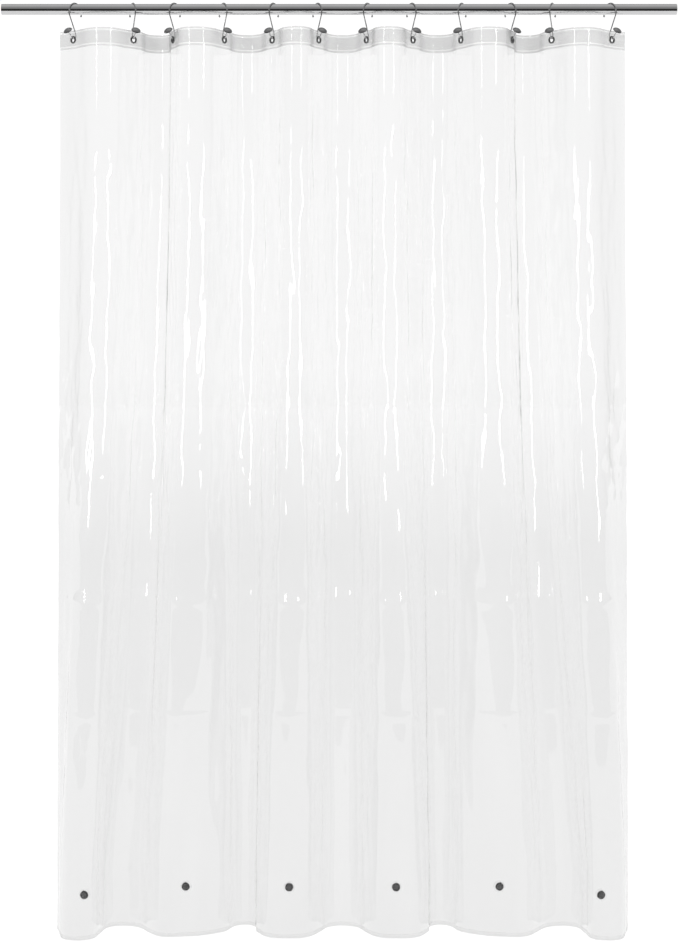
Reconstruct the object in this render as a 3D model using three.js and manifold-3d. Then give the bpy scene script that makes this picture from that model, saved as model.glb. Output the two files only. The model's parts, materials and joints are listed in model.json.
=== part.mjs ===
// A clear film shower curtain on its rod: twelve wire hooks with domed buttons pass through twelve
// metal grommets in the curtain's header band, and six magnets weigh down its lower edge.
// Millimetres, +Z up. X runs along the rod, -Y is the front (the room side), and the origin is the
// middle of the rod's axis.

import * as THREE from "three";
import { mergeVertices } from "three/addons/utils/BufferGeometryUtils.js";
import Module from "manifold-3d";

// ---- Rod ----
const ROD_LENGTH = 1370;
const ROD_DIAMETER = 22;
const ROD_WALL = 1.5;

// ---- Film: its cut size, and where it hangs ----
const FILM_WIDTH = 1829;
const FILM_HEIGHT = 1829;
const FILM_THICKNESS = 0.6;
const FILM_DROP = 33; // from the rod's underside to the film's upper edge
const CURTAIN_OFFSET = 7; // the hung curtain's middle, along the rod
const BAND_HEIGHT = 37;
const BAND_THICKNESS = 0.5;
const HEM_HEIGHT = 8;
const HEM_THICKNESS = 0.5;

// ---- Hooks, outermost first; the right half mirrors the left ----
const HOOK_STATIONS = [542.8, 426.2, 340.7, 242.6, 139.8, 51.3]; // from the curtain's middle
const HOOK_TURNS = [35, 23.5, 32.5, 28, 29, 30]; // degrees about the vertical
const WIRE_DIAMETER = 2.4;
const LOOP_SLACK = 7.5; // of the loop's radius over the rod's
const SHANK_LEAN = 27; // degrees from the vertical
const BACK_DROP = 25; // degrees that the loop's open end passes the horizontal
const BEND_RADIUS = 7.5;
const STEM_RISE = 48; // degrees above the horizontal
const STEM_LENGTH = 13;

// ---- Buttons on the hooks' front ends ----
const BUTTON_DIAMETER = 19;
const BUTTON_DISH = 0.6; // rise of its underside, from the socket out to the rim
const BUTTON_RIM = 1;
const BUTTON_DOME = 4.4;
const SOCKET_DIAMETER = 5;
const SOCKET_LENGTH = 2;

// ---- Grommets ----
const GROMMET_EDGE = 35; // from the film's side edge to the first hole
const GROMMET_DROP = 18.5; // from the film's upper edge to the holes
const GROMMET_BORE = 9.5;
const GROMMET_WALL = 1; // of the hub, which passes through the film
const GROMMET_RIM = 1.75; // of each flange, past the hub
const GROMMET_LIP = 0.6; // thickness of each flange
const FLAT_MARGIN = 1.5; // flat film left past the flange on each side

// ---- Magnets under their welded covers, outermost first ----
const MAGNET_DIAMETER = 16;
const MAGNET_THICKNESS = 2.5;
const MAGNET_SHIFTS = [15, 9, 3]; // from the crown of its fold, towards the curtain's middle
const MAGNET_RISES = [91, 101, 103]; // above the film's lower edge
const COVER_MARGIN = 4; // of the cover's weld, past the magnet's edge
const COVER_THICKNESS = 0.4;
const SKIRT_MARGIN = 5; // straight film left above the highest cover

// ---- Folds, outermost first ----
const TOP_HEADINGS = [41, 44, 64, 56, 47, 54]; // degrees from the rod, at each grommet
const BOTTOM_HEADINGS = [75, 78, 58, 36, 66, 64];
const BOTTOM_SPANS = [0.525, 0.625, 0.869, 0.513, 0.75, 0.625]; // of a fold's length, with the middle one
const EDGE_HEADING = { top: 20, bottom: 80 };

// ---- Clearances ----
const TOUCH_GAP = 0.3; // between faces that touch
const SEAT_GAP = 1.5; // between a hook's bend and the top of its grommet's bore

// ---- Fineness ----
const ROD_SIDES = 40;
const WIRE_SIDES = 6;
const WIRE_STEPS = 22;
const ROUND_SIDES = 14;
const DOME_STEPS = 2;
const LOBE_STEPS = 8;
const EDGE_STEPS = 2;
const FREE_ROWS = 3; // between the header band and the skirt

const MATERIALS = {
  rod: { color: 0xb9bcc0, roughness: 0.14, metalness: 1 },
  wire: { color: 0xb4b6ba, roughness: 0.16, metalness: 1 },
  button: { color: 0xaeb0b4, roughness: 0.18, metalness: 1 },
  grommet: { color: 0x8c8e92, roughness: 0.25, metalness: 1 },
  film: { color: 0xf2f4f6, roughness: 0.12, metalness: 0, transparent: true, opacity: 0.25 },
  band: { color: 0xdcdee0, roughness: 0.2, metalness: 0, transparent: true, opacity: 0.45 },
  magnet: { color: 0x3c3e42, roughness: 0.45, metalness: 0.6 },
  cover: { color: 0xe6e8ea, roughness: 0.15, metalness: 0, transparent: true, opacity: 0.3 },
};

const radians = THREE.MathUtils.degToRad;
const lerp = THREE.MathUtils.lerp;
const mirrored = (left) => [...left.map((x) => -x), ...left.toReversed()];
const repeated = (left) => [...left, ...left.toReversed()];
const numbered = (name, i) => `${name}_${String(i + 1).padStart(2, "0")}`;

const rodRadius = ROD_DIAMETER / 2;
const wireRadius = WIRE_DIAMETER / 2;
const loopRadius = rodRadius + LOOP_SLACK;
const filmTop = -(rodRadius + FILM_DROP); // against the rod's axis
const hookCount = 2 * HOOK_STATIONS.length;
const lobeLength = (FILM_WIDTH - 2 * GROMMET_EDGE) / (hookCount - 1);
const boreRadius = GROMMET_BORE / 2;
const hubRadius = boreRadius + GROMMET_WALL;
const flangeRadius = hubRadius + GROMMET_RIM;
const flatLength = flangeRadius + FLAT_MARGIN;
const grommetHeight = filmTop - GROMMET_DROP;
const magnetRadius = MAGNET_DIAMETER / 2;
const coverRadius = magnetRadius + COVER_MARGIN;
const skirtHeight = Math.max(...MAGNET_RISES) + coverRadius + SKIRT_MARGIN;

const wasm = await Module();
wasm.setup();

function toSolid(geometry) {
  const bare = geometry.clone();
  bare.deleteAttribute("normal");
  bare.deleteAttribute("uv");
  const merged = mergeVertices(bare, 1e-4);
  return new wasm.Manifold(
    new wasm.Mesh({
      numProp: 3,
      vertProperties: merged.attributes.position.array,
      triVerts: new Uint32Array(merged.index.array),
    }),
  );
}

function toGeometry(solid) {
  const { vertProperties, triVerts } = solid.getMesh();
  const geometry = new THREE.BufferGeometry();
  geometry.setAttribute("position", new THREE.BufferAttribute(vertProperties, 3));
  geometry.setIndex(new THREE.BufferAttribute(triVerts, 1));
  geometry.computeVertexNormals();
  return geometry;
}

function pieceOf(name, geometry, finish) {
  const mesh = new THREE.Mesh(geometry, new THREE.MeshStandardMaterial(MATERIALS[finish]));
  mesh.name = name;
  return mesh;
}

// A turned shape whose axis is +Z, from points of (radius, height).
function turned(points, sides) {
  const profile = points.map(([radius, height]) => new THREE.Vector2(radius, height));
  return new THREE.LatheGeometry(profile, sides).rotateX(Math.PI / 2);
}

// ---------------------------------------------------------------------------------------------
// Folds. Seen from above, the film is a chain that crosses the line of the hooks at each one and
// swings out between them, to the front and to the back in turn. A heading is the chain's angle
// from the rod, positive towards the front.
// ---------------------------------------------------------------------------------------------

const stepAlong = (heading) => [Math.cos(heading), -Math.sin(heading)];

// The heading part of the way round a lobe: it leaves at one crossing's heading, arrives at the
// next one's, and swell and skew set how far the lobe swings out and to which side it leans.
function lobeHeading(t, leave, arrive, swell, skew) {
  const ease = Math.cos(Math.PI * t) ** 2;
  const ends = ease * (t < 0.5 ? leave : arrive);
  return ends + swell * Math.sin(2 * Math.PI * t) + skew * Math.sin(Math.PI * t) ** 2;
}

function lobeSpan(leave, arrive, swell, skew) {
  const stride = (lobeLength - 2 * flatLength) / LOBE_STEPS;
  const span = [0, 0];
  for (let i = 0; i < LOBE_STEPS; i++) {
    const [x, y] = stepAlong(lobeHeading((i + 0.5) / LOBE_STEPS, leave, arrive, swell, skew));
    span[0] += stride * x;
    span[1] += stride * y;
  }
  return span;
}

// Newton's method finds the swell and skew whose lobe, of fixed length, spans the given step.
function fitLobe(leave, arrive, target) {
  const nudge = 1e-4;
  const rounds = 40;
  const longest = 0.2; // step of a round
  let swell = 0.9 * Math.sign(leave); // an even, rounded lobe
  let skew = 0;
  for (let round = 0; round < rounds; round++) {
    const here = lobeSpan(leave, arrive, swell, skew);
    const bySwell = lobeSpan(leave, arrive, swell + nudge, skew);
    const bySkew = lobeSpan(leave, arrive, swell, skew + nudge);
    const a = (bySwell[0] - here[0]) / nudge;
    const b = (bySkew[0] - here[0]) / nudge;
    const c = (bySwell[1] - here[1]) / nudge;
    const d = (bySkew[1] - here[1]) / nudge;
    const missX = target[0] - here[0];
    const missY = target[1] - here[1];
    const scale = 1 / (a * d - b * c);
    swell += THREE.MathUtils.clamp(scale * (d * missX - b * missY), -longest, longest);
    skew += THREE.MathUtils.clamp(scale * (a * missY - c * missX), -longest, longest);
  }
  return { swell, skew };
}

// Places and headings along the film at one level, from its left edge to its right edge.
function layFilm(crossings, headings, edgeHeading) {
  const spots = [];
  const last = crossings.length - 1;
  const put = (x, y, heading) => spots.push({ x, y, heading });
  const walk = (from, heading, length) => {
    const [x, y] = stepAlong(heading);
    return [from[0] + length * x, from[1] + length * y];
  };
  const edgeStride = (GROMMET_EDGE - flatLength) / EDGE_STEPS;
  const edgeTurn = (share, heading) => lerp(heading, Math.sign(heading) * edgeHeading, share);

  let at = walk(crossings[0], headings[0], -flatLength);
  const strip = [[...at, headings[0]]];
  for (let i = 0; i < EDGE_STEPS; i++) {
    at = walk(at, edgeTurn((i + 0.5) / EDGE_STEPS, headings[0]), -edgeStride);
    strip.unshift([...at, edgeTurn((i + 1) / EDGE_STEPS, headings[0])]);
  }
  strip.forEach((spot) => put(...spot));

  for (let k = 0; k < last; k++) {
    const [leave, arrive] = [headings[k], headings[k + 1]];
    const start = walk(crossings[k], leave, flatLength);
    const end = walk(crossings[k + 1], arrive, -flatLength);
    const lobe = fitLobe(leave, arrive, [end[0] - start[0], end[1] - start[1]]);
    const stride = (lobeLength - 2 * flatLength) / LOBE_STEPS;
    put(...crossings[k], leave);
    put(...start, leave);
    at = start;
    for (let i = 0; i < LOBE_STEPS; i++) {
      const turn = (t) => lobeHeading(t, leave, arrive, lobe.swell, lobe.skew);
      at = walk(at, turn((i + 0.5) / LOBE_STEPS), stride);
      put(...at, turn((i + 1) / LOBE_STEPS));
    }
  }

  put(...crossings[last], headings[last]);
  at = walk(crossings[last], headings[last], flatLength);
  put(...at, headings[last]);
  for (let i = 0; i < EDGE_STEPS; i++) {
    at = walk(at, edgeTurn((i + 0.5) / EDGE_STEPS, headings[last]), edgeStride);
    put(...at, edgeTurn((i + 1) / EDGE_STEPS, headings[last]));
  }
  return spots;
}

// Distances along the film at which layFilm places its spots.
function filmColumns() {
  const columns = [];
  for (let i = 0; i < EDGE_STEPS; i++) {
    columns.push((i * (GROMMET_EDGE - flatLength)) / EDGE_STEPS);
  }
  columns.push(GROMMET_EDGE - flatLength);
  for (let k = 0; k < hookCount - 1; k++) {
    const crossing = GROMMET_EDGE + k * lobeLength;
    columns.push(crossing);
    for (let i = 0; i <= LOBE_STEPS; i++) {
      columns.push(crossing + flatLength + (i * (lobeLength - 2 * flatLength)) / LOBE_STEPS);
    }
  }
  const mirror = columns.slice(0, EDGE_STEPS + 1).map((s) => FILM_WIDTH - s);
  return [...columns, FILM_WIDTH - GROMMET_EDGE, ...mirror.toReversed()];
}

const side = (i) => (i % 2 === 0 ? 1 : -1); // hooks lean left and right in turn
const bendHeight =
  grommetHeight + boreRadius - wireRadius - SEAT_GAP + BEND_RADIUS; // centre of the bend
const loopHeight = rodRadius + TOUCH_GAP + wireRadius - loopRadius; // centre of the loop

// The hook's centre line lies in a plane: reach is towards its front, height is up.
function hookLine() {
  const lean = radians(SHANK_LEAN);
  const rise = radians(STEM_RISE);
  const shankTop = loopRadius * Math.cos(lean);
  const shankTopHeight = loopHeight - loopRadius * Math.sin(lean);
  const shankFootHeight = bendHeight + BEND_RADIUS * Math.sin(lean);
  const shankFoot = shankTop - (shankTopHeight - shankFootHeight) * Math.tan(lean);
  const bendReach = shankFoot + BEND_RADIUS * Math.cos(lean);
  const line = new THREE.Path();
  line.absarc(0, loopHeight, loopRadius, Math.PI + radians(BACK_DROP), -lean, true);
  line.lineTo(shankFoot, shankFootHeight);
  line.absarc(bendReach, bendHeight, BEND_RADIUS, Math.PI - lean, 1.5 * Math.PI + rise, false);
  const from = line.currentPoint.clone();
  line.lineTo(from.x + STEM_LENGTH * Math.cos(rise), from.y + STEM_LENGTH * Math.sin(rise));
  return { line, bendReach, tip: line.currentPoint.clone() };
}

const hook = hookLine();
const stations = mirrored(HOOK_STATIONS);
const turns = repeated(HOOK_TURNS).map((turn, i) => side(i) * radians(turn));
const toFront = (turn) => new THREE.Vector2(-Math.sin(turn), -Math.cos(turn));

// Where each hook's bend holds the film.
const holds = stations.map((x, i) => {
  const front = toFront(turns[i]).multiplyScalar(hook.bendReach);
  return [x + CURTAIN_OFFSET + front.x, front.y];
});
const columns = filmColumns();
const signed = (headings) => repeated(headings).map((heading, i) => side(i) * radians(heading));
const topHeadings = signed(TOP_HEADINGS);
const bottomHeadings = signed(BOTTOM_HEADINGS);
const laid = new Map();

// Where the film crosses the hooks' line at its lower edge: each fold spans a share of its length.
const halfSpans = BOTTOM_SPANS.map((share, i, all) => share * lobeLength / (i < all.length - 1 ? 1 : 2));
const outwards = halfSpans.map((_, i) => halfSpans.slice(i).reduce((sum, span) => sum + span));
const bottomCrossings = mirrored(outwards).map((x) => x + CURTAIN_OFFSET);

// The film's plan at a drop below its upper edge. The header hangs straight, and so does the
// weighted skirt that holds the magnets.
function foldsAt(drop) {
  const reach = FILM_HEIGHT - skirtHeight - BAND_HEIGHT;
  const share = THREE.MathUtils.clamp((drop - BAND_HEIGHT) / reach, 0, 1);
  if (!laid.has(share)) {
    const crossings = holds.map(([x, y], i) => [lerp(x, bottomCrossings[i], share), y]);
    const headings = topHeadings.map((top, i) => lerp(top, bottomHeadings[i], share));
    const edge = radians(lerp(EDGE_HEADING.top, EDGE_HEADING.bottom, share));
    laid.set(share, layFilm(crossings, headings, edge));
  }
  return laid.get(share);
}

// A place on the film: distance along it, drop below its upper edge, and offset to its front.
function spotOnFilm(along, drop, offset) {
  const spots = foldsAt(drop);
  const next = Math.max(1, columns.findIndex((s) => s >= along));
  const share = (along - columns[next - 1]) / (columns[next] - columns[next - 1]);
  const [a, b] = [spots[next - 1], spots[next]];
  const heading = Math.atan2(a.y - b.y, b.x - a.x);
  const place = new THREE.Vector3(
    lerp(a.x, b.x, share) - offset * Math.sin(heading),
    lerp(a.y, b.y, share) - offset * Math.cos(heading),
    filmTop - drop,
  );
  return { place, heading };
}

// How far the film rises past a spot's own plane within a reach to each side of it.
function bulgeAt(along, drop, reach) {
  const { place, heading } = spotOnFilm(along, drop, 0);
  const between = columns.filter((s) => Math.abs(s - along) < reach);
  const rises = [along - reach, ...between, along + reach].map((s) => {
    const other = spotOnFilm(s, drop, 0).place;
    return (place.x - other.x) * Math.sin(heading) + (place.y - other.y) * Math.cos(heading);
  });
  return Math.max(0, ...rises);
}

// A box's two large faces split their squares along opposite diagonals. On a twisted sheet the
// faces would cross, so the front face is split like the back one.
function matchDiagonals(geometry) {
  const { start, count } = geometry.groups[3];
  const corners = geometry.index.array;
  for (let i = start; i < start + count; i += 6) {
    const [a, b, d, , c] = corners.slice(i, i + 6);
    corners.set([a, b, c, a, c, d], i);
  }
}

// A strip of the sheet between two drops, bent to follow the folds, in front of or behind its middle.
function foldedStrip(drops, thickness, offset) {
  const wide = columns.length - 1;
  const geometry = new THREE.BoxGeometry(1, 1, 1, wide, 1, drops.length - 1);
  matchDiagonals(geometry);
  const position = geometry.attributes.position;
  for (let i = 0; i < position.count; i++) {
    const column = Math.round((position.getX(i) + 0.5) * wide);
    const row = Math.round((0.5 - position.getZ(i)) * (drops.length - 1));
    const { x, y, heading } = foldsAt(drops[row])[column];
    const out = offset - thickness * position.getY(i);
    const height = filmTop - drops[row];
    position.setXYZ(i, x - out * Math.sin(heading), y - out * Math.cos(heading), height);
  }
  return geometry;
}

// ---- Pieces ----

function rod() {
  const inner = rodRadius - ROD_WALL;
  const half = ROD_LENGTH / 2;
  const wall = [
    [inner, -half],
    [rodRadius, -half],
    [rodRadius, half],
    [inner, half],
    [inner, -half],
  ];
  return pieceOf("rod", turned(wall, ROD_SIDES).rotateY(Math.PI / 2), "rod");
}

const grommetAlong = (i) => GROMMET_EDGE + i * lobeLength;
const bandFront = FILM_THICKNESS / 2 + TOUCH_GAP + BAND_THICKNESS;

// Turns a shape's +Z axis to the film's front face at a spot, and moves it there.
function ontoFilm(geometry, { place, heading }) {
  geometry.rotateX(Math.PI / 2).rotateZ(-heading);
  return geometry.translate(place.x, place.y, place.z);
}

function cutHoles(geometry) {
  const radius = hubRadius + TOUCH_GAP;
  const reach = 4 * bandFront;
  let solid = toSolid(geometry);
  for (let i = 0; i < hookCount; i++) {
    const punch = [[0, -reach], [radius, -reach], [radius, reach], [0, reach]];
    const spot = spotOnFilm(grommetAlong(i), GROMMET_DROP, 0);
    solid = solid.subtract(toSolid(ontoFilm(turned(punch, ROUND_SIDES), spot)));
  }
  return toGeometry(solid);
}

function film() {
  const drops = [0];
  for (let row = 0; row <= FREE_ROWS; row++) {
    drops.push(lerp(BAND_HEIGHT, FILM_HEIGHT - skirtHeight, row / FREE_ROWS));
  }
  drops.push(FILM_HEIGHT);
  return pieceOf("film", cutHoles(foldedStrip(drops, FILM_THICKNESS, 0)), "film");
}

function headerBand() {
  const middle = bandFront - BAND_THICKNESS / 2;
  const strip = foldedStrip([0, BAND_HEIGHT], BAND_THICKNESS, middle);
  return pieceOf("header_band", cutHoles(strip), "band");
}

function bottomHem() {
  const behind = -(FILM_THICKNESS / 2 + TOUCH_GAP + HEM_THICKNESS / 2);
  const strip = foldedStrip([FILM_HEIGHT - HEM_HEIGHT, FILM_HEIGHT], HEM_THICKNESS, behind);
  return pieceOf("bottom_hem", strip, "film");
}

function grommet(i) {
  const back = -(FILM_THICKNESS / 2 + TOUCH_GAP);
  const front = bandFront + TOUCH_GAP;
  const ring = [
    [boreRadius, back - GROMMET_LIP],
    [flangeRadius, back - GROMMET_LIP],
    [flangeRadius, back],
    [hubRadius, back],
    [hubRadius, front],
    [flangeRadius, front],
    [flangeRadius, front + GROMMET_LIP],
    [boreRadius, front + GROMMET_LIP],
    [boreRadius, back - GROMMET_LIP],
  ];
  const spot = spotOnFilm(grommetAlong(i), GROMMET_DROP, 0);
  return pieceOf(numbered("grommet", i), ontoFilm(turned(ring, ROUND_SIDES), spot), "grommet");
}

// A group whose +X is the hook's front and whose +Y is up, standing at the hook's station.
function hookFrame(i) {
  const front = toFront(turns[i]);
  const reach = new THREE.Vector3(front.x, front.y, 0);
  const up = new THREE.Vector3(0, 0, 1);
  const group = new THREE.Group();
  group.quaternion.setFromRotationMatrix(
    new THREE.Matrix4().makeBasis(reach, up, reach.clone().cross(up)),
  );
  group.position.x = stations[i] + CURTAIN_OFFSET;
  return group;
}

function hookWire(i) {
  const points = hook.line.getSpacedPoints(4 * WIRE_STEPS);
  const route = new THREE.CatmullRomCurve3(points.map((p) => new THREE.Vector3(p.x, p.y, 0)));
  const section = new THREE.Shape().absarc(0, 0, wireRadius, 0, 2 * Math.PI);
  const geometry = new THREE.ExtrudeGeometry(section, {
    steps: WIRE_STEPS,
    curveSegments: WIRE_SIDES / 2, // an arc is drawn with two sides for each
    extrudePath: route,
    bevelEnabled: false,
  });
  return pieceOf(numbered("hook", i), geometry, "wire");
}

function hookButton(i) {
  const [edge, socket] = [BUTTON_DIAMETER / 2, SOCKET_DIAMETER / 2];
  const brim = SOCKET_LENGTH + BUTTON_DISH;
  const domeRadius = (edge ** 2 + BUTTON_DOME ** 2) / (2 * BUTTON_DOME);
  const domeCentre = brim + BUTTON_RIM + BUTTON_DOME - domeRadius;
  const profile = [[0, 0], [socket, 0], [socket, SOCKET_LENGTH], [edge, brim]];
  for (let i = DOME_STEPS; i >= 0; i--) {
    const angle = (Math.asin(edge / domeRadius) * i) / DOME_STEPS;
    profile.push([domeRadius * Math.sin(angle), domeCentre + domeRadius * Math.cos(angle)]);
  }
  const geometry = turned(profile, ROUND_SIDES).translate(0, 0, TOUCH_GAP);
  const button = pieceOf(numbered("hook_button", i), geometry, "button");
  const rise = radians(STEM_RISE);
  button.quaternion.setFromUnitVectors(
    new THREE.Vector3(0, 0, 1),
    new THREE.Vector3(Math.cos(rise), Math.sin(rise), 0),
  );
  button.position.set(hook.tip.x, hook.tip.y, 0);
  return button;
}

// Each magnet sits near the crown of a fold to the front, which is every other one.
const magnetAlongs = MAGNET_SHIFTS.map((shift, i) => grommetAlong(2 * i + 0.5) + shift);
magnetAlongs.push(...magnetAlongs.map((along) => FILM_WIDTH - along).toReversed());

// A magnet lies on the film's front, and stands off where the film bulges under its cover.
function magnetSpot(i) {
  const drop = FILM_HEIGHT - repeated(MAGNET_RISES)[i];
  const bulge = bulgeAt(magnetAlongs[i], drop, coverRadius);
  return spotOnFilm(magnetAlongs[i], drop, FILM_THICKNESS / 2 + bulge);
}

function magnet(i) {
  const disc = [
    [0, 0],
    [magnetRadius, 0],
    [magnetRadius, MAGNET_THICKNESS],
    [0, MAGNET_THICKNESS],
  ];
  const geometry = turned(disc, ROUND_SIDES).translate(0, 0, TOUCH_GAP);
  return pieceOf(numbered("magnet", i), ontoFilm(geometry, magnetSpot(i)), "magnet");
}

function magnetCover(i) {
  const inner = magnetRadius + TOUCH_GAP;
  const outer = inner + COVER_THICKNESS;
  const under = MAGNET_THICKNESS + TOUCH_GAP;
  const cup = [
    [0, under],
    [inner, under],
    [inner, 0],
    [coverRadius, 0],
    [coverRadius, COVER_THICKNESS],
    [outer, COVER_THICKNESS],
    [outer, under + COVER_THICKNESS],
    [0, under + COVER_THICKNESS],
  ];
  const geometry = turned(cup, ROUND_SIDES).translate(0, 0, TOUCH_GAP);
  return pieceOf(numbered("magnet_cover", i), ontoFilm(geometry, magnetSpot(i)), "cover");
}

const curtain = new THREE.Group();
curtain.add(rod(), film(), headerBand(), bottomHem());
for (let i = 0; i < hookCount; i++) {
  const frame = hookFrame(i);
  frame.add(hookWire(i), hookButton(i));
  curtain.add(frame, grommet(i));
}
for (let i = 0; i < magnetAlongs.length; i++) {
  curtain.add(magnet(i), magnetCover(i));
}

export default curtain;
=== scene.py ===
"""Visual model of a clear film shower curtain on its rod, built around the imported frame.

Metres, +Z up. X runs along the rod and -Y is the front. The origin is the middle of the rod's axis.
"""

import json
import logging
import math
from dataclasses import dataclass, field
from enum import Enum
from typing import Sequence

import bmesh
import bpy
import numpy as np
from mathutils import Matrix, Vector

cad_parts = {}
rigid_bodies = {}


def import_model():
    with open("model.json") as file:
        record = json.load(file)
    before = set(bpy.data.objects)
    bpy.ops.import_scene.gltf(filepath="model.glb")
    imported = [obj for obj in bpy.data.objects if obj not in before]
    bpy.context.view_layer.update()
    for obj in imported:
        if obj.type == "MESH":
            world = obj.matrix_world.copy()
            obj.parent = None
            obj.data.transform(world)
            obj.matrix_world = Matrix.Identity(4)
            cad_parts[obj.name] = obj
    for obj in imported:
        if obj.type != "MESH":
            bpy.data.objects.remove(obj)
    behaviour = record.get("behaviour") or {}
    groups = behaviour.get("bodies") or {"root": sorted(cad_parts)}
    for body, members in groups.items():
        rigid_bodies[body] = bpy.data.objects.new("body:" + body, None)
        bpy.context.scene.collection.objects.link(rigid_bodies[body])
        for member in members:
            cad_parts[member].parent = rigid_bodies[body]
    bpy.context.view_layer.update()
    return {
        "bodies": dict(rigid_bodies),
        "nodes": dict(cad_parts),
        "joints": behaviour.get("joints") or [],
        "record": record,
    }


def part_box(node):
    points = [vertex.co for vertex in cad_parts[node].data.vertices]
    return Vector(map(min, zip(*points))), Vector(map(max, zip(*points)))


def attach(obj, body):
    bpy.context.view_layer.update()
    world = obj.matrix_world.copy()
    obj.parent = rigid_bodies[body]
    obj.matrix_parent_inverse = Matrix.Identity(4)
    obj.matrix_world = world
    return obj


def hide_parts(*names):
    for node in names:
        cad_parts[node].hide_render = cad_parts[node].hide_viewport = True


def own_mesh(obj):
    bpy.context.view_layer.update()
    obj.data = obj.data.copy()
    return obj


LOG = logging.getLogger("shower_curtain")
MM = 0.001
HOOK_COUNT = 12
HOOK_TURNS = (35, 23.5, 32.5, 28, 29, 30)  # degrees from straight ahead, in the left half
MAGNET_COUNT = 6
ROUND_STEPS = 48  # round a small turned piece
CRISP_ANGLE = 40  # degrees between two faces, past which the edge between them stays crisp

Point = tuple[float, float]
Colour = tuple[float, float, float, float]


def numbered(name: str, index: int) -> str:
    """Returns the name of the index-th piece of a repeated kind, counted from 1."""
    return f"{name}_{index + 1:02d}"


def repeated(half: Sequence[float]) -> list[float]:
    """Returns the values of the left half, followed by the right half's in mirrored order."""
    return [*half, *reversed(half)]


def alternated(half: Sequence[float]) -> list[float]:
    """Returns repeated(half) with every second value's sign turned."""
    return [value if i % 2 == 0 else -value for i, value in enumerate(repeated(half))]


def grey(level: float, blue: float = 1) -> Colour:
    """Returns a grey whose blue part is multiplied by blue."""
    return (level, level, level * blue, 1)


# ------------------------------------------------------------------------------------------------
# Shader expressions
# ------------------------------------------------------------------------------------------------


class Wire:
    """One output socket of a node tree, which can be used in arithmetic."""

    def __init__(self, paint: "Paint", socket: bpy.types.NodeSocket | None) -> None:
        """Wraps a socket of the tree that paint builds, or none for a node without outputs."""
        self.paint = paint
        self.socket = socket

    def _math(self, operation: str, *values: "Wire | float") -> "Wire":
        """Returns the result of a Math node on values."""
        return self.paint.node("ShaderNodeMath", {"operation": operation}, dict(enumerate(values)))

    def __add__(self, other: "Wire | float") -> "Wire":
        """Returns self + other."""
        return self._math("ADD", self, other)

    def __radd__(self, other: float) -> "Wire":
        """Returns other + self."""
        return self._math("ADD", other, self)

    def __sub__(self, other: "Wire | float") -> "Wire":
        """Returns self - other."""
        return self._math("SUBTRACT", self, other)

    def __rsub__(self, other: float) -> "Wire":
        """Returns other - self."""
        return self._math("SUBTRACT", other, self)

    def __mul__(self, other: "Wire | float") -> "Wire":
        """Returns self * other."""
        return self._math("MULTIPLY", self, other)

    def __rmul__(self, other: float) -> "Wire":
        """Returns other * self."""
        return self._math("MULTIPLY", other, self)

    def __pow__(self, other: float) -> "Wire":
        """Returns self to the power of other."""
        return self._math("POWER", self, other)

    def band(self, centre: float, width: float) -> "Wire":
        """Returns a mask that is 1 where self is centre and fades to 0 at the band's edges.

        Args:
            centre: The value at the middle of the band.
            width: The band's whole width.

        Returns:
            The mask.
        """
        away = self._math("ABSOLUTE", (self - centre) * (2 / width))
        return (1 - away).clamped()

    def clamped(self) -> "Wire":
        """Returns self held between 0 and 1."""
        return self.paint.node("ShaderNodeClamp", {}, {"Value": self})


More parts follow.
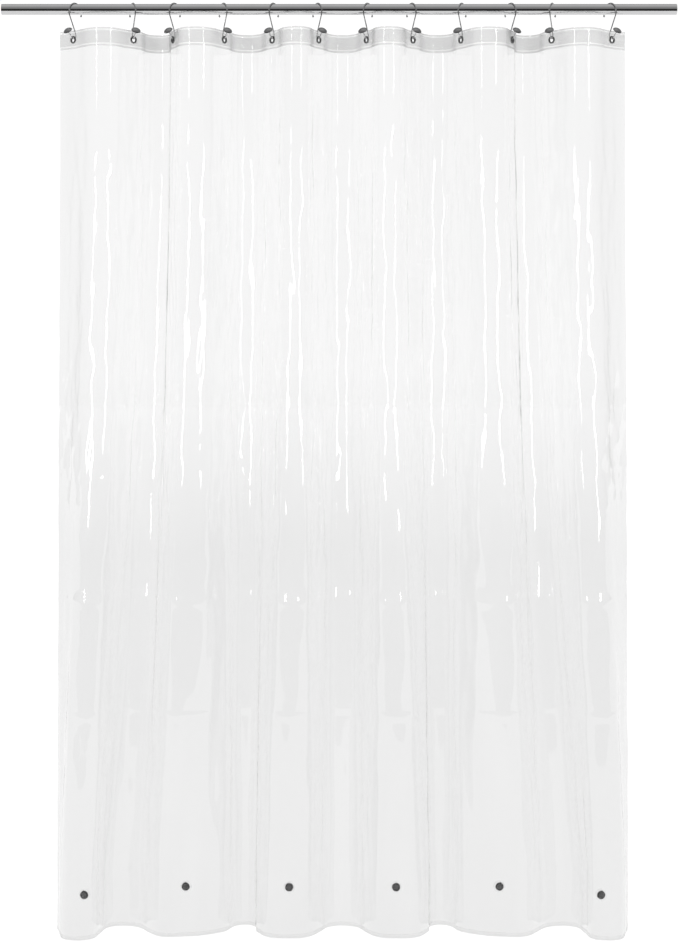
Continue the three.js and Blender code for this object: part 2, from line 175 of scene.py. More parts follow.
class Paint:
    """The node tree of a material or of the surroundings, written as Python expressions."""

    def __init__(self, owner: bpy.types.Material | bpy.types.World) -> None:
        """Empties the owner's node tree."""
        owner.use_nodes = True
        self.owner = owner
        self.tree = owner.node_tree
        self.tree.nodes.clear()

    def node(
        self,
        kind: str,
        settings: dict[str, object],
        inputs: dict[int | str, object],
        out: int | str = 0,
    ) -> Wire:
        """Adds a node.

        Args:
            kind: The node's type.
            settings: Its properties, which are set before its sockets. A ramp's stops are pairs of
                a place from 0 to 1 and the grey level there.
            inputs: Values or wires for its sockets, by name or number.
            out: The name or number of the output that is wanted.

        Returns:
            That output.
        """
        made = self.tree.nodes.new(kind)
        for key, value in settings.items():
            if key == "stops":
                self._set_stops(made.color_ramp, value)
            else:
                setattr(made, key, value)
        for key, value in inputs.items():
            if isinstance(value, Wire):
                self.tree.links.new(value.socket, made.inputs[key])
            else:
                made.inputs[key].default_value = value
        return Wire(self, made.outputs[out] if made.outputs else None)

    def _set_stops(self, ramp: bpy.types.ColorRamp, stops: Sequence[Point]) -> None:
        """Gives a ramp its stops, as node describes them."""
        while len(ramp.elements) < len(stops):
            ramp.elements.new(0.5)
        for element, (place, level) in zip(ramp.elements, stops):
            element.position = place
            element.color = grey(level)

    def object_place(self) -> Wire:
        """Returns the Object coordinates."""
        return self.node("ShaderNodeTexCoord", {}, {}, "Object")

    def stretched(self, place: Wire, scale: Sequence[float]) -> Wire:
        """Returns coordinates multiplied by a factor for each axis."""
        return self.node("ShaderNodeMapping", {}, {"Vector": place, "Scale": scale})

    def sheet_place(self, along: float, down: float) -> Wire:
        """Returns the sheet's own UV map, stretched by two factors.

        Args:
            along: The factor across the sheet's width.
            down: The factor along its height.

        Returns:
            The stretched coordinates.
        """
        return self.stretched(self.node("ShaderNodeTexCoord", {}, {}, "UV"), (along, down, 1))

    def sheet_height(self) -> Wire:
        """Returns the height up the sheet, from 0 at its lower edge to 1 at its upper edge."""
        return self.node("ShaderNodeSeparateXYZ", {}, {0: self.sheet_place(1, 1)}, "Y")

    def noise(self, place: Wire, scale: float, detail: float = 2, roughness: float = 0.5) -> Wire:
        """Returns a smooth noise between 0 and 1.

        Args:
            place: The coordinates.
            scale: Its fineness.
            detail: Its number of octaves.
            roughness: The weight of each finer octave.

        Returns:
            The noise.
        """
        sockets = {"Vector": place, "Scale": scale, "Detail": detail, "Roughness": roughness}
        return self.node("ShaderNodeTexNoise", {}, sockets)

    def mix(self, factor: Wire, low: Colour, high: Colour) -> Wire:
        """Returns a colour between low and high."""
        settings = {"data_type": "RGBA", "clamp_factor": True}
        colour_a, colour_b, colour_out = 6, 7, 2  # the colour sockets' numbers on a Mix node
        sockets = {"Factor": factor, colour_a: low, colour_b: high}
        return self.node("ShaderNodeMix", settings, sockets, colour_out)

    def bump(self, height: Wire, strength: float, distance: float) -> Wire:
        """Returns a normal turned by a height.

        Args:
            height: The height, from 0 to 1.
            strength: How much of it is used.
            distance: The height of 1, in metres.

        Returns:
            The normal.
        """
        sockets = {"Height": height, "Strength": strength, "Distance": distance}
        return self.node("ShaderNodeBump", {}, sockets, "Normal")

    def finish(self, **sockets: object) -> bpy.types.Material:
        """Adds the surface shader.

        Args:
            **sockets: Values or wires for its sockets, with _ for each space in a name.

        Returns:
            The finished material.
        """
        inputs = {key.replace("_", " "): value for key, value in sockets.items()}
        surface = self.node("ShaderNodeBsdfPrincipled", {}, inputs)
        self.node("ShaderNodeOutputMaterial", {}, {"Surface": surface})
        return self.owner


# ------------------------------------------------------------------------------------------------
# Finishes
# ------------------------------------------------------------------------------------------------


@dataclass(frozen=True)
class Polish:
    """A bright plated or steel finish."""

    name: str
    tone: float
    tone_spread: float
    roughness: float
    roughness_spread: float
    grain: float  # fineness of the cloudiness in the plating, per metre
    scratches: float  # height of the fine scratches, in metres
    scratch_grain: float = 40  # fineness of the scratches against that of the cloudiness
    scratch_stretch: float = 0.12  # their fineness along X against that across it
    scratch_strength: float = 0.5
    blue: float = 1.01

    def make(self) -> bpy.types.Material:
        """Returns the material."""
        paint = Paint(bpy.data.materials.new(self.name))
        place = paint.object_place()
        cloud = paint.noise(place, self.grain, detail=3)
        low = grey(self.tone - self.tone_spread, self.blue)
        high = grey(self.tone + self.tone_spread, self.blue)
        lines = paint.stretched(place, (self.scratch_stretch, 1, 1))
        fine = paint.noise(lines, self.scratch_grain * self.grain)
        return paint.finish(
            Base_Color=paint.mix(cloud, low, high),
            Metallic=1.0,
            Roughness=self.roughness + self.roughness_spread * cloud,
            Normal=paint.bump(fine, self.scratch_strength, self.scratches),
        )


@dataclass(frozen=True)
class ClearFilm:
    """Clear vinyl film with the ripples of the real sheet, whose colour holds faint haze and
    painted shade.
    """

    name: str
    clear: float  # share of light that the sheet lets through at its clearest
    haze_and_shade: float  # the same where haze and painted shade darken it most
    roughness: float
    ripple: float  # height of the fine ripples, in metres
    roughness_spread: float = 0.04
    shade_from: float = 0.62  # share of the sheet's height below which painted shade darkens it
    shade_fade: float = 0.2  # share of the height over which it does
    lower_shade: float = 0.86  # how much of the painted shade that brings
    haze_and_shade_clouds: float = 0.7  # how much of the haze and painted shade comes in clouds
    haze_and_shade_base: float = -0.22
    clouds: Point = (13, 1.6)  # fineness across and down the sheet, which makes the clouds vertical bands of haze and painted fold shade
    ripples: Point = (110, 14)
    ripple_strength: float = 0.6
    ior: float = 1.45

    def make(self) -> bpy.types.Material:
        """Returns the material."""
        paint = Paint(bpy.data.materials.new(self.name))
        # Clouds stretched into vertical bands: random haze, and painted shade that stands in for
        # the shade of the soft folds.
        clouds = paint.noise(paint.sheet_place(*self.clouds), 1, detail=3, roughness=0.55)
        # Painted shade: the film grows darker over the lower part of its height.
        lower = ((self.shade_from - paint.sheet_height()) * (1 / self.shade_fade)).clamped()
        # The mask mixes haze with painted shade, which darkens the film towards its lower edge and
        # in vertical bands.
        haze_and_shade_mask = (self.haze_and_shade_clouds * clouds + self.lower_shade * lower + self.haze_and_shade_base).clamped()
        ripples = paint.noise(paint.sheet_place(*self.ripples), 1)
        return paint.finish(
            Base_Color=paint.mix(haze_and_shade_mask, grey(self.clear), grey(self.haze_and_shade)),
            Roughness=self.roughness + self.roughness_spread * clouds,
            Transmission_Weight=1.0,
            IOR=self.ior,
            Normal=paint.bump(ripples, self.ripple_strength, self.ripple),
        )


@dataclass(frozen=True)
class WeldedBand:
    """The doubled film of the header, milky, with the lines of its welds."""

    name: str
    tone: float
    weld_tone: float
    transmission: float
    roughness: float
    welds: tuple[float, ...]  # heights of the weld lines, as shares of the band's height
    weld_width: float
    roughness_spread: float = 0.1
    cloud_tone: float = 0.35  # how far the clouds turn the tone to the welds'
    clouds: Point = (60, 1.5)  # fineness across and down the band
    knurl: Point = (900, 18)
    heights: tuple[float, float, float] = (0.6, 0.3, 0.4)  # of the welds, the knurl and the clouds
    relief: float = 0.4 * MM
    relief_strength: float = 0.6
    ior: float = 1.45

    def make(self) -> bpy.types.Material:
        """Returns the material."""
        paint = Paint(bpy.data.materials.new(self.name))
        height = paint.sheet_height()
        lines = sum((height.band(weld, self.weld_width) for weld in self.welds), 0)
        clouds = paint.noise(paint.sheet_place(*self.clouds), 1, detail=3)
        knurl = paint.noise(paint.sheet_place(*self.knurl), 1, detail=1)
        pale = (lines + self.cloud_tone * clouds).clamped()
        line_height, knurl_height, cloud_height = self.heights
        raised = lines * line_height + knurl * knurl_height + clouds * cloud_height
        return paint.finish(
            Base_Color=paint.mix(pale, grey(self.tone), grey(self.weld_tone)),
            Roughness=self.roughness + self.roughness_spread * clouds,
            Transmission_Weight=self.transmission,
            IOR=self.ior,
            Normal=paint.bump(raised, self.relief_strength, self.relief),
        )


@dataclass(frozen=True)
class DarkPlate:
    """The dark nickel plating of a disc magnet, paler in the middle, with painted shade that
    darkens its rim.
    """

    name: str
    # The tone at the rim, darkened by painted shade, and the tone in the middle.
    edge: float
    middle: float
    roughness: float
    roughness_spread: float = 0.2
    metallic: float = 0.85
    middle_blue: float = 1.02
    grain: float = 260  # fineness of the random patches, per metre
    pit_grain: float = 1400
    pit_depth: float = 0.05 * MM
    pit_strength: float = 0.4
    fall: float = 3  # how late the painted rim shade sets in on the way to the edge
    patchiness: float = 0.3

    def make(self) -> bpy.types.Material:
        """Returns the material."""
        paint = Paint(bpy.data.materials.new(self.name))
        place = paint.object_place()
        cloud = paint.noise(place, self.grain, detail=4, roughness=0.6)
        pits = paint.noise(place, self.pit_grain)
        radius = paint.node("ShaderNodeAttribute", {"attribute_name": "radius"}, {}, "Fac")
        # Painted shade: the rim fades to near black, a shadow ring round the disc, broken by random
        # patches.
        rim_shading = (1 - radius ** self.fall + self.patchiness * (cloud - 0.5)).clamped()
        return paint.finish(
            Base_Color=paint.mix(rim_shading, grey(self.edge), grey(self.middle, self.middle_blue)),
            Metallic=self.metallic,
            Roughness=self.roughness + self.roughness_spread * cloud,
            Normal=paint.bump(pits, self.pit_strength, self.pit_depth),
        )


class Finish(Enum):
    """The finishes of the curtain's pieces, by the record's material slot."""

    ROD = Polish("rod_chrome", 0.6, 0.03, 0.04, 0.04, 30, 0.004 * MM)
    HOOK = Polish("hook_chrome", 0.5, 0.05, 0.05, 0.05, 160, 0.003 * MM)
    BUTTON = Polish("button_chrome", 0.34, 0.06, 0.06, 0.06, 160, 0.003 * MM)
    GROMMET = Polish("grommet_steel", 0.16, 0.05, 0.12, 0.1, 300, 0.01 * MM)
    FILM = ClearFilm("clear_film", 0.912, 0.79, 0.02, 0.06 * MM)
    COVER = ClearFilm("cover_film", 0.97, 0.93, 0.06, 0.05 * MM)
    BAND = WeldedBand("header_film", 0.76, 1.0, 0.84, 0.07, (0.13, 0.89), 0.09)
    MAGNET = DarkPlate("magnet_dark", 0.004, 0.06, 0.3)

    @property
    def slot(self) -> str:
        """The record's material slot."""
        return self.value.name


# ------------------------------------------------------------------------------------------------
# Making pieces
# ------------------------------------------------------------------------------------------------


@dataclass
class Workshop:
    """Turns meshes into finished pieces of the object."""

    materials: dict[Finish, bpy.types.Material] = field(default_factory=dict)

    def dress(self, mesh: bpy.types.Mesh, finish: Finish) -> None:
        """Gives a mesh its finish, made once for all pieces that share it."""
        if finish not in self.materials:
            self.materials[finish] = finish.value.make()
        mesh.materials.append(self.materials[finish])

    def add(
        self,
        name: str,
        mesh: bpy.types.Mesh,
        finish: Finish,
        body: str,
        node: str,
    ) -> bpy.types.Object:
        """Makes a piece that stands for a CAD node.

        Args:
            name: The piece's name.
            mesh: Its mesh, in place.
            finish: Its finish.
            body: The CAD body that it rides.
            node: The CAD node that it replaces.

        Returns:
            The piece.
        """
        self.dress(mesh, finish)
        piece = bpy.data.objects.new(name, mesh)
        bpy.context.scene.collection.objects.link(piece)
        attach(piece, body)
        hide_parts(node)
        LOG.info("%s rides %s, %d faces", name, body, len(mesh.polygons))
        return piece


def mesh_of(bm: bmesh.types.BMesh, name: str) -> bpy.types.Mesh:
    """Returns a bmesh as a mesh whose faces point outwards, and frees it."""
    bmesh.ops.recalc_face_normals(bm, faces=bm.faces)
    mesh = bpy.data.meshes.new(name)
    bm.to_mesh(mesh)
    bm.free()
    mesh.shade_smooth()
    mesh.set_sharp_from_angle(angle=math.radians(CRISP_ANGLE))
    return mesh


def turned(
    name: str, profile: Sequence[Point], place: Matrix, steps: int = ROUND_STEPS
) -> bpy.types.Mesh:
    """Spins a profile about its own Z axis.

    Args:
        name: The mesh's name.
        profile: Points of radius and height. One that starts and ends on the axis is closed there,
            and any other is closed on itself.
        place: Where the turned shape goes.
        steps: The number of steps round.

    Returns:
        The mesh.
    """
    bm = bmesh.new()
    verts = [bm.verts.new((radius, 0, height)) for radius, height in profile]
    pairs = list(zip(verts, verts[1:]))
    if profile[0][0] > 0:
        pairs.append((verts[-1], verts[0]))
    edges = [bm.edges.new(pair) for pair in pairs]
    bmesh.ops.spin(
        bm,
        geom=[*verts, *edges],
        cent=(0, 0, 0),
        axis=(0, 0, 1),
        angle=2 * math.pi,
        steps=steps,
        use_merge=True,
        use_duplicate=False,
    )
    bmesh.ops.remove_doubles(bm, verts=bm.verts, dist=1e-6)
    bmesh.ops.transform(bm, matrix=place, verts=bm.verts)
    return mesh_of(bm, name)


def arc(centre: Point, radius: float, start: float, end: float, steps: int) -> list[Point]:
    """Returns points on an arc.

    Args:
        centre: The arc's centre.
        radius: Its radius.
        start: The angle of its first point, in degrees.
        end: The angle of its last point.
        steps: The number of steps between them.

    Returns:
        The points.
    """
    angles = np.radians(np.linspace(start, end, steps + 1))
    return [(centre[0] + radius * math.cos(a), centre[1] + radius * math.sin(a)) for a in angles]


def swept(
    name: str, route: Sequence[Vector], radii: Sequence[float], side: Vector, sides: int
) -> bpy.types.Mesh:
    """Extrudes a round section along a route that lies in one plane.

    Args:
        name: The mesh's name.
        route: The points of the centre line.
        radii: The section's radius at each point.
        side: The direction across the plane.
        sides: The number of sides of the section.

    Returns:
        The mesh, closed at both ends.
    """

    def section(i: int) -> Matrix:
        """Returns the place and size of the section at a point of the route."""
        ahead = (route[min(i + 1, len(route) - 1)] - route[max(i - 1, 0)]).normalized()
        axes = Matrix((side, side.cross(ahead) * -1, ahead)).transposed().to_4x4()
        return Matrix.Translation(route[i]) @ axes @ Matrix.Scale(radii[i], 4)

    bm = bmesh.new()
    ring = bmesh.ops.create_circle(bm, cap_ends=False, radius=1, segments=sides)["verts"]
    first = list(bm.edges)
    bmesh.ops.transform(bm, matrix=section(0), verts=ring)
    loop = first
    for i in range(1, len(route)):
        grown = bmesh.ops.extrude_edge_only(bm, edges=loop)["geom"]
        ring = [g for g in grown if isinstance(g, bmesh.types.BMVert)]
        loop = [g for g in grown if isinstance(g, bmesh.types.BMEdge)]
        loop = [e for e in loop if all(v in ring for v in e.verts)]
        step = section(i) @ section(i - 1).inverted()
        bmesh.ops.transform(bm, matrix=step, verts=ring)
    for rim in (first, loop):
        bmesh.ops.edgeloop_fill(bm, edges=rim)
    return mesh_of(bm, name)


def facing(place: Vector, front: Vector) -> Matrix:
    """Returns the frame whose +Z is front, whose +Y leans up, and whose origin is place."""
    across = Vector((0, 0, 1)).cross(front).normalized()
    up = front.cross(across)
    return Matrix.Translation(place) @ Matrix((across, up, front)).transposed().to_4x4()


def level_front(heading: float) -> Vector:
    """Returns the level direction that something turned by heading about the vertical faces."""
    return Vector((-math.sin(heading), -math.cos(heading), 0))


# ------------------------------------------------------------------------------------------------
# The folded film
# ------------------------------------------------------------------------------------------------


@dataclass
class Folds:
    """The film's shape in plan at each level.

    Seen from above, the film is a chain that crosses the hooks' line at each grommet and swings
    out between them, to the front and to the back in turn. A heading is the chain's angle from
    the rod, positive towards the front.
    """

    width: float = 1829 * MM
    height: float = 1829 * MM
    top: float = -44 * MM
    edge: float = 35 * MM  # from the side edge to the first grommet
    flat: float = 9 * MM  # straight film to each side of a grommet
    header: float = 37 * MM  # height that hangs as the grommets hold it
    skirt: float = 120 * MM  # height that hangs straight above the lower edge
    ease: float = 1.7  # how late the folds leave their places at the top
    top_headings: tuple[float, ...] = (41, 44, 64, 56, 47, 54)
    bottom_headings: tuple[float, ...] = (75, 78, 58, 36, 66, 64)
    bottom_spans: tuple[float, ...] = (0.525, 0.625, 0.869, 0.513, 0.75, 0.625)
    edge_heading_top: float = 20
    edge_heading_bottom: float = 80
    lobe_steps: int = 30
    flat_steps: int = 3
    edge_steps: int = 6
    first_swell: float = 0.9  # radians that a lobe is first taken to swing out
    holds: np.ndarray = field(default_factory=lambda: np.zeros((HOOK_COUNT, 2)))

    def __post_init__(self) -> None:
        """Works out the lower crossings and the columns along the film."""
        self.lobe = (self.width - 2 * self.edge) / (HOOK_COUNT - 1)
        self.curved = self.lobe - 2 * self.flat
        spans = np.array(self.bottom_spans) * self.lobe
        spans[-1] /= 2  # the middle lobe's span belongs to both halves
        outwards = np.cumsum(spans[::-1])[::-1]
        middle = self.holds[:, 0].mean()
        self.bottom_x = np.array([*(-outwards), *outwards[::-1]]) + middle
        swell = self.first_swell
        self.fits = [(swell if k % 2 == 0 else -swell, 0.0) for k in range(HOOK_COUNT - 1)]
        self.columns = self._columns()

    def _columns(self) -> np.ndarray:
        """Returns the distances along the film at which its shape is worked out."""
        end = np.linspace(0, self.edge - self.flat, self.edge_steps + 1)
        flat = np.linspace(-self.flat, self.flat, 2 * self.flat_steps + 1)
        found = [end[:-1]]
        for k in range(HOOK_COUNT):
            crossing = self.edge + k * self.lobe
            found.append(crossing + flat)
            if k < HOOK_COUNT - 1:
                curve = np.linspace(0, self.curved, self.lobe_steps + 1)[1:-1]
                found.append(crossing + self.flat + curve)
        found.append(self.width - end[:-1][::-1])
        return np.concatenate(found)

    def _ahead(self, heading: float) -> np.ndarray:
        """Returns a heading's direction in plan."""
        return np.array([math.cos(heading), -math.sin(heading)])

    def _shares(self, steps: int) -> tuple[np.ndarray, np.ndarray]:
        """Returns the middles and the ends of equal steps from 0 to 1."""
        return (np.arange(steps) + 0.5) / steps, (np.arange(steps) + 1) / steps

    def _headings(
        self, t: np.ndarray, leave: float, arrive: float, swell: float, skew: float
    ) -> np.ndarray:
        """Returns the headings at shares t of the way round a lobe.

        Args:
            t: Shares from 0 to 1.
            leave: The heading at its start.
            arrive: The heading at its end.
            swell: How far the lobe swings out.
            skew: How far it leans to one side.

        Returns:
            The headings.
        """
        ends = np.cos(np.pi * t) ** 2 * np.where(t < 0.5, leave, arrive)
        return ends + swell * np.sin(2 * np.pi * t) + skew * np.sin(np.pi * t) ** 2

    def _walk(self, start: np.ndarray, headings: np.ndarray, stride: float) -> np.ndarray:
        """Returns the places that steps of one length reach from start."""
        steps = np.stack([np.cos(headings), -np.sin(headings)], axis=1) * stride
        return start + np.cumsum(steps, axis=0)

    def _fit(self, k: int, leave: float, arrive: float, target: np.ndarray) -> Point:
        """Finds the swell and skew with which lobe k, of fixed length, spans target.

        Args:
            k: The lobe's number, whose last fit is where the search starts.
            leave: The heading at its start.
            arrive: The heading at its end.
            target: The step in plan from its start to its end.

        Returns:
            The swell and the skew.
        """
        middles, _ = self._shares(self.lobe_steps)
        stride = self.curved / self.lobe_steps
        rounds = 40
        close = 1e-7  # metres from the target
        nudge = 1e-4  # radians, with which the slopes are measured
        longest = 0.2  # radians that a round may change either

        def span(swell: float, skew: float) -> np.ndarray:
            """Returns the step in plan from the lobe's start to its end."""
            turned_to = self._headings(middles, leave, arrive, swell, skew)
            return np.array([np.cos(turned_to).sum(), -np.sin(turned_to).sum()]) * stride

        at = np.array(self.fits[k])
        for _ in range(rounds):
            here = span(*at)
            miss = target - here
            if np.abs(miss).max() < close:
                break
            changes = [span(at[0] + nudge, at[1]) - here, span(at[0], at[1] + nudge) - here]
            slopes = np.stack(changes, axis=1) / nudge
            at = at + np.clip(np.linalg.solve(slopes, miss), -longest, longest)
        self.fits[k] = (float(at[0]), float(at[1]))
        return self.fits[k]

    def _lobe(
        self, k: int, start: np.ndarray, end: np.ndarray, leave: float, arrive: float
    ) -> tuple[np.ndarray, np.ndarray]:
        """Lays the film that curves from one grommet to the next.

        Args:
            k: The lobe's number.
            start: Its start in plan.
            end: Its end in plan.
            leave: The heading at its start.
            arrive: The heading at its end.

        Returns:
            The places in plan between its two ends, and the headings there.
        """
        swell, skew = self._fit(k, leave, arrive, end - start)
        middles, ends = self._shares(self.lobe_steps)
        on_the_way = self._headings(middles, leave, arrive, swell, skew)
        places = self._walk(start, on_the_way, self.curved / self.lobe_steps)
        return places[:-1], self._headings(ends, leave, arrive, swell, skew)[:-1]

    def _border(
        self, start: np.ndarray, heading: float, last: float, way: int
    ) -> tuple[np.ndarray, np.ndarray]:
        """Lays the film from an outer grommet to the side edge.

        Args:
            start: Where the straight film at the grommet ends.
            heading: The heading there.
            last: The size of the heading at the edge.
            way: -1 to the left, 1 to the right.

        Returns:
            The places in plan on the way out, and the headings there.
        """
        middles, ends = self._shares(self.edge_steps)
        turn = math.copysign(last, heading) - heading
        stride = way * (self.edge - self.flat) / self.edge_steps
        return self._walk(start, heading + middles * turn, stride), heading + ends * turn

    def share(self, drop: float) -> float:
        """Returns how far a level has gone from the header's folds to the skirt's, from 0 to 1."""
        reach = self.height - self.skirt - self.header
        return float(np.clip((drop - self.header) / reach, 0, 1)) ** self.ease

    def level(self, drop: float) -> tuple[np.ndarray, np.ndarray]:
        """Lays the film at one level.

        Args:
            drop: The level, below the film's upper edge.

        Returns:
            The places in plan at each column, and the headings there.
        """
        share = self.share(drop)
        crossings = self.holds.copy()
        crossings[:, 0] += share * (self.bottom_x - self.holds[:, 0])
        tops = np.radians(alternated(self.top_headings))
        bottoms = np.radians(alternated(self.bottom_headings))
        headings = tops + share * (bottoms - tops)
        offsets = np.arange(-self.flat_steps, self.flat_steps + 1) * (self.flat / self.flat_steps)
        places: list[np.ndarray] = []
        found: list[np.ndarray] = []
        for k, (crossing, heading) in enumerate(zip(crossings, headings)):
            places.append(crossing + offsets[:, None] * self._ahead(heading))
            found.append(np.full(len(offsets), heading))
            if k < HOOK_COUNT - 1:
                arrive = headings[k + 1]
                end = crossings[k + 1] - self.flat * self._ahead(arrive)
                curve, turning = self._lobe(k, places[-1][-1], end, heading, arrive)
                places.append(curve)
                found.append(turning)
        edge_growth = self.edge_heading_bottom - self.edge_heading_top
        last = math.radians(self.edge_heading_top + share * edge_growth)
        left, left_headings = self._border(places[0][0], headings[0], last, -1)
        right, right_headings = self._border(places[-1][-1], headings[-1], last, 1)
        places = [left[::-1], *places, right]
        found = [left_headings[::-1], *found, right_headings]
        return np.concatenate(places), np.concatenate(found)

    def spot(self, along: float, drop: float) -> Vector:
        """Returns the film's place at a distance along it and a drop."""
        places, _ = self.level(drop)
        x = np.interp(along, self.columns, places[:, 0])
        y = np.interp(along, self.columns, places[:, 1])
        return Vector((x, y, self.top - drop))


@dataclass(frozen=True)
class Crinkle:
    """A patch of ripples on the film, longer down the film than across it."""

    height: float
    across: float  # wavelength across the film
    down: float  # wavelength down the film
    start: float  # drop at which it starts
    end: float  # drop at which it has died away
    sharp: bool = False  # creased ridges rather than round waves
    waves: int = 7
    across_range: Point = (0.55, 1.8)  # shortest and longest wave, against the wavelength
    down_range: Point = (0.5, 2.0)
    rise: float = 0.12  # drop over which it grows to its full height
    fall: float = 0.25  # drop over which it dies away
    ridge: float = 1.2  # height of a creased ridge, against the waves'

    def heights(self, along: np.ndarray, drop: float, seed: np.random.RandomState) -> np.ndarray:
        """Returns the film's height off its folds along one level, from seeded waves.

        Args:
            along: The distances along the film.
            drop: The level.
            seed: The source of the waves' phases, the same for each level.

        Returns:
            The heights.
        """
        total = np.zeros_like(along)
        for _ in range(self.waves):
            across = self.across * seed.uniform(*self.across_range)
            down = self.down * seed.uniform(*self.down_range)
            phases = seed.uniform(0, 2 * np.pi, 2)
            drift = seed.uniform(-1, 1)
            turns = along / across + drift * drop / down
            wave = np.sin(2 * np.pi * turns + phases[0])
            total += wave * math.sin(2 * np.pi * drop / down + phases[1])
        if self.sharp:
            total = self.ridge - np.abs(total)
        rise = np.clip((drop - self.start) / self.rise, 0, 1)
        fall = np.clip((self.end - drop) / self.fall, 0, 1)
        return self.height * total / math.sqrt(self.waves) * rise * fall


@dataclass(frozen=True)
class Layer:
    """A sheet of film that follows the folds."""

    name: str
    node: str  # the CAD node that it stands for
    finish: Finish
    thickness: float
    offset: float  # how far it lies in front of the film's middle
    holes: bool  # whether the grommets pass through it


